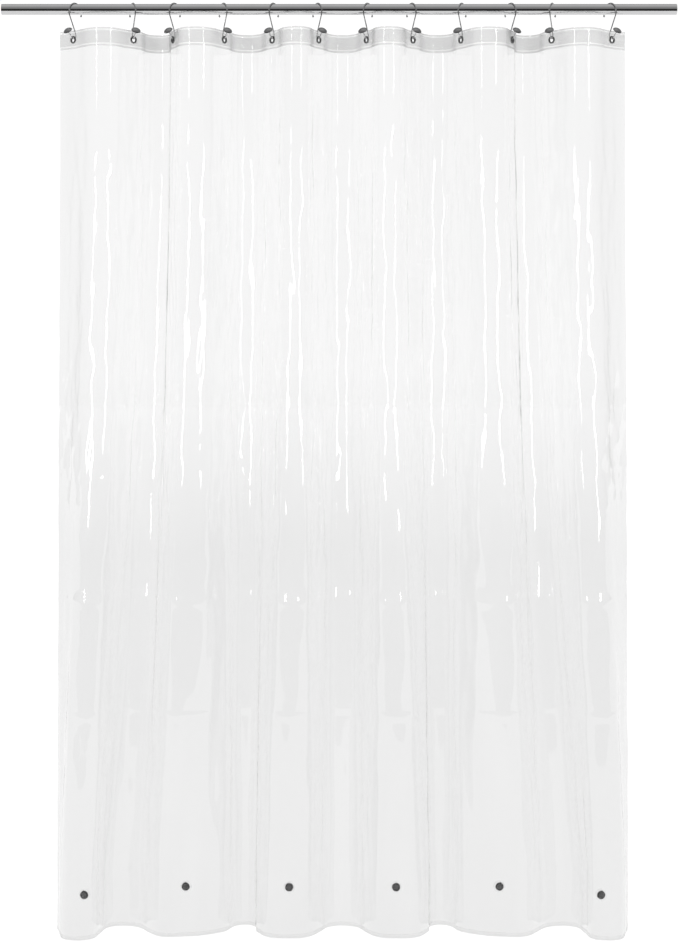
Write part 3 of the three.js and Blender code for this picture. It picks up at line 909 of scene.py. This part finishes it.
@dataclass
class Curtain:
    """The film with its header band, its hem and its grommets' holes."""

    folds: Folds
    shop: Workshop
    film: Layer = Layer("film_sheet", "film", Finish.FILM, 0.2 * MM, 0, True)
    band: Layer = Layer("header_strip", "header_band", Finish.BAND, 0.4 * MM, 0.5 * MM, True)
    hem: Layer = Layer("hem_strip", "bottom_hem", Finish.COVER, 0.15 * MM, -0.25 * MM, False)
    hem_height: float = 8 * MM
    hem_rows: int = 4
    hole_drop: float = 18.5 * MM
    hole_radius: float = 6 * MM
    hole_rows: tuple[float, ...] = (0.55, 1.1, 1.8)  # off a hole's middle, in its radii
    hole_cleared: float = 0.9  # share of its radius inside which the film is cut away
    hole_rim: float = 1.05  # where the film round it ends, in its radii
    upper_rows: tuple[float, float, float] = (0.045, 1.12, 0.013)  # first, last and step
    lower_rows: tuple[float, float, float] = (1.12, 1.81, 0.028)
    creases: tuple[float, ...] = (1155 * MM, 1382 * MM)  # packing folds across the film
    crease_height: float = 0.9 * MM
    crease_half: float = 6 * MM  # half of a crease's width
    smooth_top: float = 0.06  # drop under the header over which the ripples begin
    crinkles: tuple[Crinkle, ...] = (
        Crinkle(1.1 * MM, 50 * MM, 460 * MM, 0.12, 1.9),
        Crinkle(0.9 * MM, 34 * MM, 150 * MM, 0.15, 1.15),
        Crinkle(0.9 * MM, 30 * MM, 70 * MM, 0.32, 1.1, sharp=True),
    )
    crinkle_seed: int = 11

    def drops(self) -> np.ndarray:
        """Returns the levels of the film's rows, finest where it is creased."""
        off_middle = [-share for share in reversed(self.hole_rows)] + [0, *self.hole_rows]
        hole = self.hole_drop + self.hole_radius * np.array(off_middle)
        header = [0, 1.5 * MM, *hole, self.folds.header - 2 * MM, self.folds.header]
        rows = [*header, *np.arange(*self.upper_rows), *np.arange(*self.lower_rows)]
        half = self.crease_half
        for crease in self.creases:
            rows = [row for row in rows if abs(row - crease) > 1.5 * half]
            rows += [crease - half, crease, crease + half]
        rows += [self.folds.height - self.hem_height, self.folds.height]
        return np.unique(np.round(rows, 6))

    def relief(self, drop: float) -> np.ndarray:
        """Returns how far the film stands off its folds along one level."""
        along = self.folds.columns
        seed = np.random.RandomState(self.crinkle_seed)
        total = sum(crinkle.heights(along, drop, seed) for crinkle in self.crinkles)
        for crease in self.creases:
            near = max(0, 1 - abs(drop - crease) / self.crease_half)
            total = total + self.crease_height * near
        return total * np.clip((drop - self.folds.header) / self.smooth_top, 0, 1)

    def surface(self, drops: Sequence[float], offset: float) -> np.ndarray:
        """Works out the points of a sheet that follows the folds.

        Args:
            drops: Its rows' levels.
            offset: How far it lies in front of the film's middle.

        Returns:
            The points, by row and column.
        """
        points = np.zeros((len(drops), len(self.folds.columns), 3))
        for row, drop in enumerate(drops):
            places, headings = self.folds.level(drop)
            out = offset + self.relief(drop)
            points[row, :, 0] = places[:, 0] - out * np.sin(headings)
            points[row, :, 1] = places[:, 1] - out * np.cos(headings)
            points[row, :, 2] = self.folds.top - drop
        return points

    def strip(self, layer: Layer, drops: Sequence[float]) -> bpy.types.Mesh:
        """Makes a layer's mesh between two levels.

        Args:
            layer: The layer.
            drops: Its rows' levels.

        Returns:
            The mesh, with a UV map whose U runs along the sheet and whose V runs up it.
        """
        columns, levels = self.folds.columns, np.array(drops)
        wide, high = len(columns) - 1, len(levels) - 1
        points = self.surface(drops, layer.offset)
        bm = bmesh.new()
        bmesh.ops.create_grid(bm, x_segments=wide, y_segments=high, size=0.5)
        mesh = bpy.data.meshes.new(layer.name)
        bm.to_mesh(mesh)
        bm.free()
        grid = np.zeros(len(mesh.vertices) * 3)
        mesh.vertices.foreach_get("co", grid)
        grid = grid.reshape(-1, 3)
        column = np.rint((grid[:, 0] + 0.5) * wide).astype(int)
        row = np.rint((0.5 - grid[:, 1]) * high).astype(int)
        mesh.vertices.foreach_set("co", points[row, column].ravel())
        corners = np.zeros(len(mesh.loops), int)
        mesh.loops.foreach_get("vertex_index", corners)
        u = columns[column] / self.folds.width
        v = 1 - (levels[row] - levels[0]) / (levels[-1] - levels[0])
        uv_map = mesh.uv_layers.new(name="sheet")
        uv_map.data.foreach_set("uv", np.stack([u, v], axis=1)[corners].ravel())
        mesh.update()
        if layer.holes:
            self.punch(mesh, columns[column], levels[row])
        self.crisp(mesh)
        return mesh

    def punch(self, mesh: bpy.types.Mesh, along: np.ndarray, drop: np.ndarray) -> None:
        """Opens a round hole at each grommet.

        Args:
            mesh: The sheet.
            along: Each vertex's distance along the film.
            drop: Each vertex's level.
        """
        bm = bmesh.new()
        bm.from_mesh(mesh)
        bm.verts.ensure_lookup_table()
        for k in range(HOOK_COUNT):
            centre = self.folds.edge + k * self.folds.lobe
            away = np.hypot(along - centre, drop - self.hole_drop)
            cleared = np.flatnonzero(away < self.hole_cleared * self.hole_radius)
            inside = [bm.verts[i] for i in cleared]
            rim = {e.other_vert(v) for v in inside for e in v.link_edges} - set(inside)
            place = self.folds.spot(centre, self.hole_drop)
            for vert in rim:
                arm = vert.co - place
                vert.co = place + arm * (self.hole_radius * self.hole_rim / arm.length)
            for vert in inside:
                vert.tag = True
        bmesh.ops.delete(bm, geom=[v for v in bm.verts if v.tag], context="VERTS")
        bm.to_mesh(mesh)
        bm.free()

    def crisp(self, mesh: bpy.types.Mesh) -> None:
        """Shades a sheet smooth, with crisp borders."""
        mesh.shade_smooth()
        bm = bmesh.new()
        bm.from_mesh(mesh)
        for edge in bm.edges:
            edge.smooth = not edge.is_boundary
        bm.to_mesh(mesh)
        bm.free()

    def lay(self, layer: Layer, drops: Sequence[float]) -> bpy.types.Object:
        """Makes a layer's piece between two levels, with its thickness half to each side."""
        mesh = self.strip(layer, drops)
        piece = self.shop.add(layer.name, mesh, layer.finish, "curtain", layer.node)
        wall = piece.modifiers.new("thickness", "SOLIDIFY")
        wall.thickness = layer.thickness
        wall.offset = 0
        return piece

    def build(self) -> tuple[bpy.types.Object, list[bpy.types.Object]]:
        """Makes the film, its header band and its hem.

        Returns:
            The film, and the strips welded to it.
        """
        drops = self.drops()
        header = [drop for drop in drops if drop <= self.folds.header + 1e-6]
        lower = self.folds.height - self.hem_height
        hem = lower + np.linspace(0, self.hem_height, self.hem_rows)
        film = self.lay(self.film, drops)
        return film, [self.lay(self.band, header), self.lay(self.hem, hem)]


# ------------------------------------------------------------------------------------------------
# Hardware
# ------------------------------------------------------------------------------------------------


@dataclass
class Rod:
    """The round tube that the curtain hangs on."""

    shop: Workshop
    wall: float = 1.5 * MM
    rounding: float = 0.3 * MM
    hold: float = 1 * MM  # plain tube past each rounded rim, which keeps its shading straight
    sides: int = 96

    def build(self) -> None:
        """Makes the tube."""
        low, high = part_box("rod")
        radius = (high.z - low.z) / 2
        half = (high.x - low.x) / 2
        inner = radius - self.wall
        soft = self.rounding
        profile = [
            (inner, half - soft),
            (inner + soft, half),
            *arc((radius - soft, half - soft), soft, 90, 0, 3),
            (radius, half - self.hold),
            (radius, self.hold - half),
            *arc((radius - soft, soft - half), soft, 0, -90, 3),
            (inner + soft, -half),
            (inner, soft - half),
        ]
        along_x = Matrix.Translation((low + high) / 2) @ Matrix.Rotation(math.pi / 2, 4, "Y")
        mesh = turned("rod_tube", profile, along_x, self.sides)
        self.shop.add("rod_tube", mesh, Finish.ROD, "rod", "rod")


@dataclass
class Hook:
    """A bent wire hook: an open loop over the rod, a shank, a bend and a stem with its button."""

    shop: Workshop
    index: int
    station: float
    turn: float  # about the vertical, in radians
    wire: float = 1.2 * MM
    loop: float = 18.5 * MM
    loop_rise: float = -6.0 * MM
    bend: float = 7.5 * MM
    bend_reach: float = 5.26 * MM
    bend_rise: float = -52.95 * MM
    lean: float = 27  # of the shank, in degrees
    back_drop: float = 25  # of the loop's open end past level, in degrees
    stem_rise: float = 48  # of the stem, in degrees
    stem: float = 13 * MM
    ball: float = 2.0 * MM  # radius of the ball on the open end
    ball_span: float = 13  # degrees of the loop that the ball's finer steps take up
    ball_steps: int = 9
    loop_steps: int = 44
    shank_steps: int = 7
    bend_steps: int = 18
    stem_steps: int = 3
    sides: int = 14
    button: float = 9.5 * MM
    button_back: float = 2.3 * MM  # from the stem's end to the button's back
    button_rim: float = 3.9 * MM  # the same to its rim
    button_dome: float = 4.4 * MM
    button_roll: float = 0.7 * MM  # radius of its rolled edge
    collar: float = 2.4 * MM  # radius of the collar that holds it
    collar_foot: float = 1.2 * MM  # from the stem's end back to the collar's foot
    collar_soft: float = 0.6 * MM  # how far its corners are eased

    @property
    def front(self) -> Vector:
        """The direction that the hook's front faces."""
        return level_front(self.turn)

    def in_place(self, point: Point) -> Vector:
        """Returns a point of the hook's plane, given by its reach and its height."""
        return Vector((self.station, 0, 0)) + self.front * point[0] + Vector((0, 0, point[1]))

    def line(self) -> list[Point]:
        """Returns the wire's centre line in the hook's plane, from the loop's open end."""
        centre = (0, self.loop_rise)
        opening = 180 + self.back_drop
        stride = (opening + self.lean) / self.loop_steps
        tip = arc(centre, self.loop, opening, opening - self.ball_span, self.ball_steps)
        loop = arc(centre, self.loop, opening, -self.lean, self.loop_steps)
        loop = [*tip[:-1], *loop[math.ceil(self.ball_span / stride) :]]
        elbow = (self.bend_reach, self.bend_rise)
        bend = arc(elbow, self.bend, 180 - self.lean, 270 + self.stem_rise, self.bend_steps)
        ends = zip(loop[-1], bend[0])
        shank = list(zip(*(np.linspace(a, b, self.shank_steps + 1) for a, b in ends)))
        rise = math.radians(self.stem_rise)
        x, z = bend[-1]
        lengths = np.linspace(0, self.stem, self.stem_steps + 1)[1:]
        stem = [(x + s * math.cos(rise), z + s * math.sin(rise)) for s in lengths]
        return [*loop, *shank[1:-1], *bend, *stem]

    def radii(self, line: Sequence[Point]) -> list[float]:
        """Returns the wire's radius along its line, with a ball at its open end."""
        lengths = np.hypot(*np.diff(np.array(line), axis=0).T)
        starts = np.concatenate([[0], np.cumsum(lengths)])
        bulge = [math.sqrt(max(0, self.ball**2 - (s - self.ball) ** 2)) for s in starts]
        pole = 0.2 * MM  # radius of the flat at the ball's end
        return [max(b, pole if i == 0 else self.wire) for i, b in enumerate(bulge)]

    def build(self) -> None:
        """Makes the wire and the button."""
        line = self.line()
        route = [self.in_place(p) for p in line]
        side = self.front.cross(Vector((0, 0, 1)))
        name = numbered("hook_wire", self.index)
        body = numbered("hook", self.index)
        mesh = swept(name, route, self.radii(line), side, self.sides)
        self.shop.add(name, mesh, Finish.HOOK, body, body)
        self.cap(line[-1], body)

    def button_profile(self) -> list[Point]:
        """Returns the outline of the button and its collar, from the collar's foot."""
        low, rim, roll, soft = self.button_back, self.button_rim, self.button_roll, self.collar_soft
        big = (self.button**2 + self.button_dome**2) / (2 * self.button_dome)
        spread = math.degrees(math.asin((self.button - 0.5 * MM) / big))
        crown = arc((0, rim + self.button_dome - big), big, 90 - spread, 90, 9)
        crown[-1] = (0, crown[-1][1])
        return [
            (0, -self.collar_foot),
            (1.7 * MM, -self.collar_foot),
            (self.collar, -soft),
            (self.collar + 0.2 * MM, low - soft),
            (3.3 * MM, low),
            (self.button - 1.2 * MM, low + 0.3 * MM),
            *arc((self.button - roll, rim - roll), roll, -90, 60, 6),
            *crown,
        ]

    def cap(self, tip: Point, body: str) -> None:
        """Makes the domed button on the stem's end.

        Args:
            tip: The stem's end in the hook's plane.
            body: The hook's body.
        """
        rise = math.radians(self.stem_rise)
        axis = self.front * math.cos(rise) + Vector((0, 0, math.sin(rise)))
        name = numbered("button_cap", self.index)
        mesh = turned(name, self.button_profile(), facing(self.in_place(tip), axis))
        self.shop.add(name, mesh, Finish.BUTTON, body, numbered("hook_button", self.index))


@dataclass
class Grommet:
    """A two-part metal eyelet, its barrel rolled over a washer on each face of the film."""

    shop: Workshop
    index: int
    place: Vector
    heading: float
    bore: float = 4.75 * MM
    wall: float = 1.4 * MM
    flange: float = 7.5 * MM
    half: float = 0.95 * MM  # from the film's middle to a washer's inner face
    washer: float = 0.25 * MM  # from that face to the middle of the rolled edges
    roll: float = 1.1 * MM  # radius of the barrel's rolled end
    edge: float = 0.35 * MM  # radius of the washer's edge
    offset: float = 0.35 * MM  # of its middle, towards the header band

    def build(self) -> None:
        """Makes the eyelet."""
        lip = self.half + self.washer
        waist = self.bore + self.wall
        front = [
            *arc((self.bore + self.roll, lip), self.roll, 180, 20, 8),
            *arc((self.flange - self.edge, lip), self.edge, 70, -90, 4),
        ]
        back = [(radius, -height) for radius, height in reversed(front)]
        profile = [*front, (waist, self.half), (waist, -self.half), *back]
        normal = level_front(self.heading)
        frame = facing(self.place + normal * self.offset, normal)
        name = numbered("grommet_ring", self.index)
        node = numbered("grommet", self.index)
        self.shop.add(name, turned(name, profile, frame), Finish.GROMMET, node, node)


@dataclass
class Magnet:
    """A disc magnet under a patch of film welded to the curtain's front."""

    shop: Workshop
    index: int
    radius: float = 8 * MM
    depth: float = 2.5 * MM
    edge: float = 0.5 * MM  # bevel of its edges
    dish: float = 0.25 * MM  # depth of its dished face
    dimple: float = 0.6 * MM  # depth of the dimple in the middle
    gap: float = 0.3 * MM  # between the disc and its patch
    patch: float = 12 * MM
    film: float = 0.3 * MM

    def disc_profile(self) -> list[Point]:
        """Returns the outline of the disc, from the middle of its back."""
        half, edge = self.depth / 2, self.edge
        return [
            (0, -half),
            (self.radius - edge, -half),
            (self.radius, edge - half),
            (self.radius, half - edge),
            (self.radius - edge, half),
            (self.radius - 1.6 * MM, half),
            (self.radius - 2.0 * MM, half - self.dish),
            (1.8 * MM, half - self.dish),
            (1.3 * MM, half - self.dimple),
            (0, half - self.dimple),
        ]

    def patch_profile(self) -> list[Point]:
        """Returns the outline of the patch, over its outside and back along its inside."""
        top = self.depth / 2 + self.gap
        under = -top
        wide = self.radius + self.gap
        soft = 0.5 * MM
        return [
            (0, top),
            (wide - soft, top),
            *arc((wide - 0.2 * MM, top - soft), soft, 90, 0, 4),
            (wide + 0.6 * MM, under + 0.9 * MM),
            (wide + 1.3 * MM, under + 0.45 * MM),
            (self.patch, under + 0.35 * MM),
            (self.patch, under + 0.05 * MM),
            (wide + 1.2 * MM, under + 0.1 * MM),
            (wide + 0.2 * MM, under + 0.6 * MM),
            (wide, top - 0.6 * MM),
            (wide - 0.6 * MM, top - self.film),
            (0, top - self.film),
        ]

    def build(self) -> None:
        """Makes the disc and its patch, both turned about the vertical by one angle."""
        node = numbered("magnet", self.index)
        cover = numbered("magnet_cover", self.index)
        low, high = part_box(node)
        cover_low, cover_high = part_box(cover)
        centre = (low + high) / 2
        lean = math.atan2((high.y - low.y) - self.depth, 2 * self.radius)
        side = 1 if (cover_low.x + cover_high.x) / 2 < centre.x else -1
        frame = facing(centre, level_front(side * lean))
        name = numbered("magnet_disc", self.index)
        disc = turned(name, self.disc_profile(), frame)
        back = frame.inverted()
        # The radius shares drive the painted shade at the disc's rim.
        shares = [(back @ v.co).xy.length / self.radius for v in disc.vertices]
        rim_shading = disc.attributes.new("radius", "FLOAT", "POINT")
        rim_shading.data.foreach_set("value", np.array(shares, np.float32))
        self.shop.add(name, disc, Finish.MAGNET, node, node)
        name = numbered("magnet_patch", self.index)
        patch = turned(name, self.patch_profile(), frame)
        self.shop.add(name, patch, Finish.COVER, node, cover)


# ------------------------------------------------------------------------------------------------
# The studio
# ------------------------------------------------------------------------------------------------


@dataclass(frozen=True)
class Softbox:
    """A soft light that faces the curtain."""

    name: str
    azimuth: float  # its direction from the curtain, in degrees from the front
    height: float  # of its middle
    size: Point  # its width and height
    radiance: float


@dataclass
class Studio:
    """The floor, the soft lights, the surroundings and the camera."""

    distance: float = 4.25
    eye: float = -0.722  # the camera's height against the rod's axis
    eye_side: float = 0.0007
    centre: float = -0.939  # height at the middle of the frame
    frame_height: float = 1.9163  # at the rod
    sensor: float = 36
    far: float = 200
    floor_gap: float = 0.06
    floor_size: float = 60.0
    floor_front: float = 2.3  # how far it reaches in front of the rod
    floor_tones: Point = (0.14, 0.16)
    floor_glow: float = 0.9  # evens it out with the surround
    white: float = 1.05
    room: tuple[Point, ...] = (  # heights in the surround, and how bright it is in reflections
        (0, 0.8),
        (0.13, 0.5),
        (0.15, 0),
        (0.44, 0),
        (0.48, 0.15),
        (0.66, 0.32),
        (0.82, 0.4),
        (0.95, 0.58),
        (1, 0.68),
    )
    lights: tuple[Softbox, ...] = (
        Softbox("left_box", -38, -0.55, (0.6, 1.4), 22),
        Softbox("right_box", 38, -0.55, (0.6, 1.4), 22),
        Softbox("upper_left_box", -38, 0.62, (0.3, 0.5), 16),
        Softbox("upper_right_box", 38, 0.62, (0.3, 0.5), 16),
    )
    lit: bpy.types.Collection = field(default_factory=lambda: bpy.data.collections.new("lit_film"))

    def surroundings(self) -> None:
        """Makes a white surround whose reflections have the dark horizon of a room."""
        world = bpy.data.worlds.new("studio")
        bpy.context.scene.world = world
        paint = Paint(world)
        place = paint.node("ShaderNodeTexCoord", {}, {}, "Generated")
        rise = paint.node("ShaderNodeSeparateXYZ", {}, {0: place}, "Z")
        level = paint.node("ShaderNodeMapRange", {}, {"From Min": -1, "Value": rise}, "Result")
        shade = paint.node("ShaderNodeValToRGB", {"stops": self.room}, {"Fac": level})
        room = paint.node("ShaderNodeBackground", {}, {"Color": shade})
        plain = paint.node("ShaderNodeBackground", {}, {"Color": grey(1), "Strength": self.white})
        reflected = paint.node("ShaderNodeLightPath", {}, {}, "Is Reflection Ray")
        diffused = paint.node("ShaderNodeLightPath", {}, {}, "Is Diffuse Ray")
        mirrored = (reflected - diffused).clamped()
        blend = paint.node("ShaderNodeMixShader", {}, {"Fac": mirrored, 1: plain, 2: room})
        paint.node("ShaderNodeOutputWorld", {}, {"Surface": blend})

    def floor(self) -> None:
        """Makes the pale floor under the curtain."""
        low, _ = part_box("film")
        bm = bmesh.new()
        bmesh.ops.create_grid(bm, x_segments=1, y_segments=1, size=self.floor_size / 2)
        back = self.floor_size / 2 - self.floor_front
        bmesh.ops.translate(bm, vec=(0, back, low.z - self.floor_gap), verts=bm.verts)
        mesh = mesh_of(bm, "floor")
        paint = Paint(bpy.data.materials.new("pale_floor"))
        speckle = paint.noise(paint.object_place(), 3, detail=4)
        dark, pale = self.floor_tones
        pale_floor = paint.finish(
            Base_Color=paint.mix(speckle, grey(dark), grey(pale)),
            Roughness=0.9,
            Specular_IOR_Level=0.1,
            Emission_Color=grey(1),
            Emission_Strength=self.floor_glow,
        )
        mesh.materials.append(pale_floor)
        plane = bpy.data.objects.new("floor", mesh)
        bpy.context.scene.collection.objects.link(plane)

    def hang(self, box: Softbox) -> None:
        """Hangs a soft light, which shows only on the pieces of the lit collection."""
        lamp = bpy.data.lights.new(box.name, "AREA")
        lamp.shape = "RECTANGLE"
        lamp.size, lamp.size_y = box.size
        lamp.energy = box.radiance * math.pi * box.size[0] * box.size[1]
        light = bpy.data.objects.new(box.name, lamp)
        bpy.context.scene.collection.objects.link(light)
        angle = math.radians(box.azimuth)
        out = Vector((math.sin(angle), -math.cos(angle), 0))
        light.location = out * self.distance + Vector((0, 0, box.height))
        light.rotation_euler = (-out).to_track_quat("-Z", "Y").to_euler()
        light.visible_camera = False
        light.visible_transmission = False
        light.light_linking.receiver_collection = self.lit

    def camera(self) -> None:
        """Sets the level camera in front of the curtain."""
        lens = bpy.data.cameras.new("camera")
        lens.sensor_width = self.sensor
        lens.lens = self.distance * self.sensor / self.frame_height
        lens.shift_y = (self.centre - self.eye) / self.frame_height
        lens.clip_end = self.far
        eye = bpy.data.objects.new("camera", lens)
        eye.location = (self.eye_side, -self.distance, self.eye)
        eye.rotation_euler = (math.pi / 2, 0, 0)
        bpy.context.scene.collection.objects.link(eye)
        bpy.context.scene.camera = eye

    def build(self) -> None:
        """Sets up the whole studio."""
        scene = bpy.context.scene
        scene.view_settings.view_transform = "Standard"
        scene.cycles.max_bounces = 24
        scene.cycles.transmission_bounces = 20
        scene.cycles.glossy_bounces = 6
        self.camera()
        self.surroundings()
        self.floor()
        for box in self.lights:
            self.hang(box)


def main() -> None:
    """Builds the studio and every piece, in order."""
    logging.basicConfig(level=logging.INFO, format="%(message)s")
    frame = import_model()
    joints = {joint["name"]: joint for joint in frame["joints"]}
    studio = Studio()
    studio.build()
    shop = Workshop()
    Rod(shop).build()

    pivots = [joints[numbered("turn", i)]["pos_m"] for i in range(HOOK_COUNT)]
    folds = Folds(holds=np.array([pivot[:2] for pivot in pivots]))
    curtain = Curtain(folds, shop)
    film, strips = curtain.build()
    for piece in (film, *strips):
        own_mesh(piece)
        studio.lit.objects.link(piece)

    turns = np.radians(alternated(HOOK_TURNS))
    headings = np.radians(alternated(folds.top_headings))
    for i in range(HOOK_COUNT):
        station = pivots[i][0] + Hook.bend_reach * math.sin(turns[i])
        Hook(shop, i, station, float(turns[i])).build()
        place = folds.spot(folds.edge + i * folds.lobe, curtain.hole_drop)
        Grommet(shop, i, place, float(headings[i])).build()
    for i in range(MAGNET_COUNT):
        Magnet(shop, i).build()

    [numbered("hook_wire", i) for i in range(HOOK_COUNT)]


if __name__ == "__main__":
    main()
